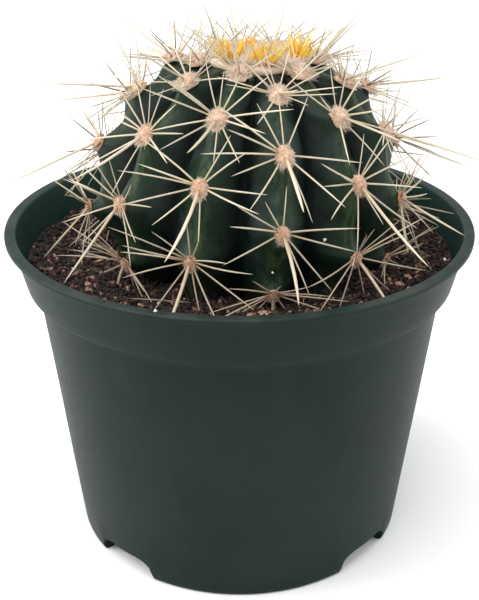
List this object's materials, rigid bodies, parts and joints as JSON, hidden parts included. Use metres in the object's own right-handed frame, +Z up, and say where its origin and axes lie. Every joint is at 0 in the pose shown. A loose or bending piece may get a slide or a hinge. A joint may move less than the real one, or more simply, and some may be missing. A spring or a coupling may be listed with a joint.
{
  "type": "potted round cactus",
  "caption": "Round ribbed cactus with straw-coloured spine clusters and a golden woolly crown, rooted in soil in a tapered plastic nursery pot that stands on a surface.",
  "frame": {"origin": "on the pot's axis, at the surface the pot stands on", "axes": "+Z up out of the pot, -Y the front, +X to the right seen from the front"},
  "size_m": [0.1524, 0.1524, 0.1839],
  "materials": {
    "pot_plastic": "satin",
    "soil_mix": "matte",
    "stem_skin": "satin",
    "spine_straw": "satin",
    "crown_wool": "matte",
    "root_fibre": "matte"
  },
  "bodies": {
    "root": {"pot": "pot_plastic", "potting_soil": "soil_mix", "cactus_stem": "stem_skin", "roots": "root_fibre", "crown": "crown_wool", "areole_rib01_1": "spine_straw", "areole_rib01_2": "spine_straw", "areole_rib01_3": "spine_straw", "areole_rib01_4": "spine_straw", "areole_rib02_1": "spine_straw", "areole_rib02_2": "spine_straw", "areole_rib02_3": "spine_straw", "areole_rib02_4": "spine_straw", "areole_rib03_1": "spine_straw", "areole_rib03_2": "spine_straw", "areole_rib03_3": "spine_straw", "areole_rib03_4": "spine_straw", "areole_rib04_1": "spine_straw", "areole_rib04_2": "spine_straw", "areole_rib04_3": "spine_straw", "areole_rib04_4": "spine_straw", "areole_rib05_1": "spine_straw", "areole_rib05_2": "spine_straw", "areole_rib05_3": "spine_straw", "areole_rib05_4": "spine_straw", "areole_rib06_1": "spine_straw", "areole_rib06_2": "spine_straw", "areole_rib06_3": "spine_straw", "areole_rib06_4": "spine_straw", "areole_rib07_1": "spine_straw", "areole_rib07_2": "spine_straw", "areole_rib07_3": "spine_straw", "areole_rib07_4": "spine_straw", "areole_rib08_1": "spine_straw", "areole_rib08_2": "spine_straw", "areole_rib08_3": "spine_straw", "areole_rib08_4": "spine_straw", "areole_rib09_1": "spine_straw", "areole_rib09_2": "spine_straw", "areole_rib09_3": "spine_straw", "areole_rib09_4": "spine_straw", "areole_rib10_1": "spine_straw", "areole_rib10_2": "spine_straw", "areole_rib10_3": "spine_straw", "areole_rib10_4": "spine_straw", "areole_rib11_1": "spine_straw", "areole_rib11_2": "spine_straw", "areole_rib11_3": "spine_straw", "areole_rib11_4": "spine_straw", "areole_rib12_1": "spine_straw", "areole_rib12_2": "spine_straw", "areole_rib12_3": "spine_straw", "areole_rib12_4": "spine_straw"}
  },
  "joints": []
}
